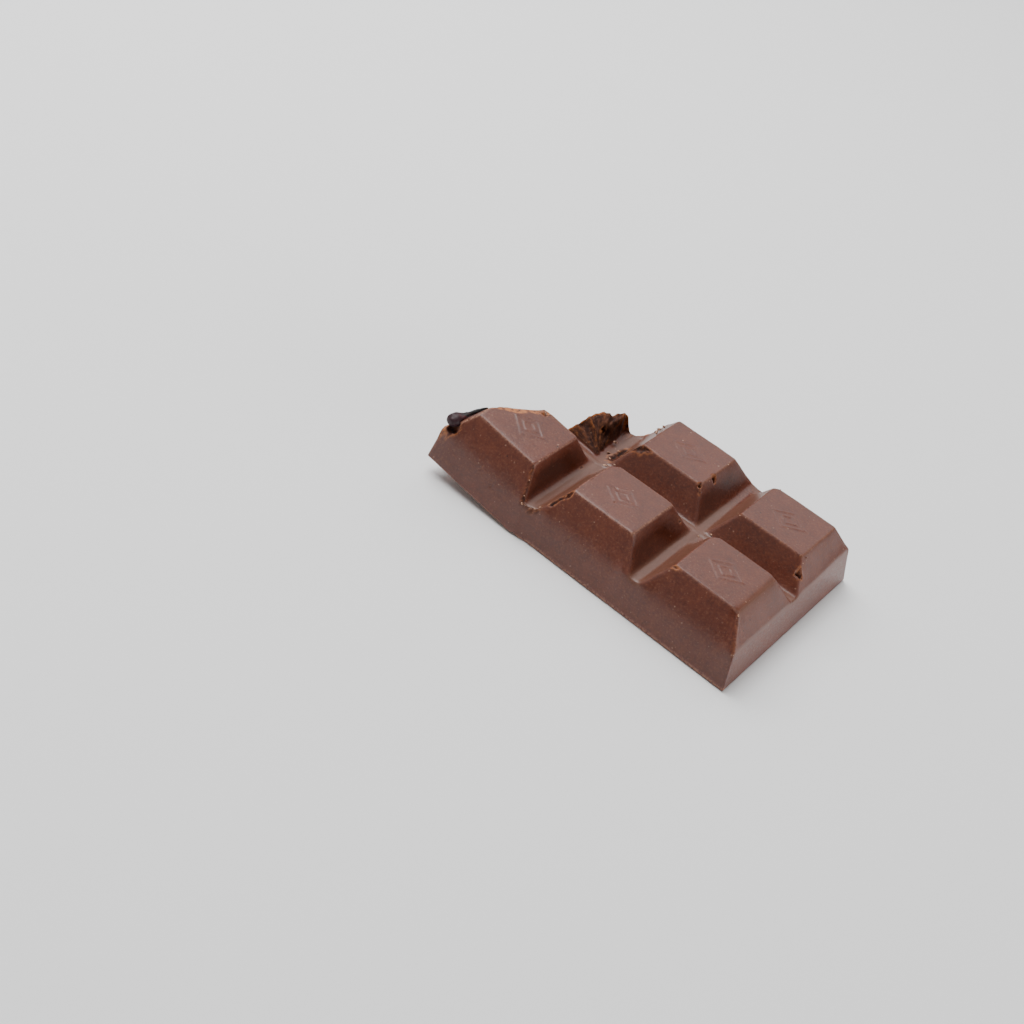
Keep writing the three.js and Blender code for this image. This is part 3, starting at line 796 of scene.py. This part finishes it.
def crumb_points(crumbs, rings, sides):
    """Small balls, one for each crumb, cut flat at their poles, made lumpy by noise, flattened to
    flakes and turned about two drawn angles."""
    draw = np.random.default_rng(52)
    rise = np.radians(np.linspace(-72, 72, rings))[:, None]
    turn = np.linspace(0, 2 * np.pi, sides, endpoint=False)[None]
    ball = np.stack(np.broadcast_arrays(
        np.cos(rise) * np.cos(turn), np.cos(rise) * np.sin(turn), np.sin(rise),
    ), axis=-1)
    crumbs = np.array(crumbs)[:, None, None]
    lump = 1 + 0.5 * noise(crumbs[..., :3] * 3 + ball, 0.8, 51, 3)[..., None]
    flake = ball * lump * FLAKE
    yaw, pitch = draw.uniform(-np.pi, np.pi, (2, len(crumbs), 1, 1))
    x, y, z = np.moveaxis(flake, -1, 0)
    x, z = x * np.cos(pitch / 3) - z * np.sin(pitch / 3), x * np.sin(pitch / 3) + z * np.cos(pitch / 3)
    x, y = x * np.cos(yaw) - y * np.sin(yaw), x * np.sin(yaw) + y * np.cos(yaw)
    return crumbs[..., :3] + crumbs[..., 3:] * np.stack([x, y, z], axis=-1)


crumb_rings = crumb_points(CRUMBS, 7, 9)
crumb_index = np.arange(crumb_rings[..., 0].size).reshape(crumb_rings.shape[:3])
crumb_piece = mesh_piece(
    "crumbs", to_frame(bent(crumb_rings)), sum([tube_faces(ball) for ball in crumb_index], []),
)


CRUMB_THICK, CRUMB_THIN = (0.1, 0.035, 0.016, 1), (0.5, 0.28, 0.18, 1)


def chocolate_crumb():
    """Crushed chocolate: pale tan where it is scraped thin, brown where it is thick, and dull."""
    material, tree, surface = new_finish("chocolate_crumb")
    place = tree.node("TexCoord", output="Object")
    patch = tree.node("TexNoise", Vector=place, Scale=2200.0, Detail=3.0)
    shade = patch.ease(0.4, 0.6).between(CRUMB_THICK, CRUMB_THIN)
    tree.feed(surface, "Base Color", shade)
    tree.feed(surface, "Roughness", patch.ease(0.3, 0.7, 0.5, 0.75))
    tree.feed(surface, "Normal", tree.node("Bump", Strength=0.4, Distance=0.0001, Height=patch))
    return material


crumb_piece.data.materials.append(chocolate_crumb())
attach(crumb_piece, "root")

# The floor: a plain pale surface that the piece lies on
bpy.ops.mesh.primitive_plane_add(size=6.0)
floor = bpy.context.object
floor.name = "floor"
material, _, surface = new_finish("floor")
surface.inputs["Base Color"].default_value = (0.9, 0.9, 0.9, 1)
surface.inputs["Roughness"].default_value = 0.9
floor.data.materials.append(material)

# The camera: where the photograph was taken from, in the bar's millimetres
CAMERA_AT = np.array([73.239, -152.942, 147.768])
CAMERA_RIGHT = Vector((0.744649, 0.625995, 0.231578))
CAMERA_UP = Vector((-0.561367, 0.399700, 0.724643))
camera_data = bpy.data.cameras.new("camera")
camera_data.lens = 49.397
camera_data.sensor_width = 36.0
camera_data.clip_start = 0.005
camera = bpy.data.objects.new("camera", camera_data)
bpy.context.scene.collection.objects.link(camera)
turn = Matrix([CAMERA_RIGHT, CAMERA_UP, CAMERA_RIGHT.cross(CAMERA_UP)]).transposed().to_4x4()
camera.matrix_world = Matrix.Translation(to_frame(CAMERA_AT).tolist()) @ turn
bpy.context.scene.camera = camera


# The light: large soft lamps round the piece and a faint even glow
def softbox(name, direction, power):
    """A square lamp over half a metre away in a direction of the frame, facing the piece."""
    distance, size = 0.6, 0.45
    lamp_data = bpy.data.lights.new(name, "AREA")
    lamp_data.shape = "SQUARE"
    lamp_data.size = size
    lamp_data.energy = power
    lamp = bpy.data.objects.new(name, lamp_data)
    lamp.visible_camera = False
    bpy.context.scene.collection.objects.link(lamp)
    towards = Vector(direction).normalized()
    facing = towards.to_track_quat("Z", "Y").to_matrix().to_4x4()
    lamp.matrix_world = Matrix.Translation(towards * distance) @ facing


softbox("key", (-0.5, 0.15, 0.85), 3.45)
softbox("overhead", (-0.25, 0.0, 0.97), 2.0)
softbox("left", (-0.75, 0.1, 0.65), 0.8)
softbox("back", (-0.1, 0.8, 0.55), 1.05)
softbox("end", (1.0, 0.1, -0.07), 7.2)
softbox("front", (-0.3, -0.8, 0.5), 0.35)
world = bpy.data.worlds.new("studio")
world.use_nodes = True
world.node_tree.nodes["Background"].inputs["Color"].default_value = (1, 1, 1, 1)
world.node_tree.nodes["Background"].inputs["Strength"].default_value = 0.08
bpy.context.scene.world = world
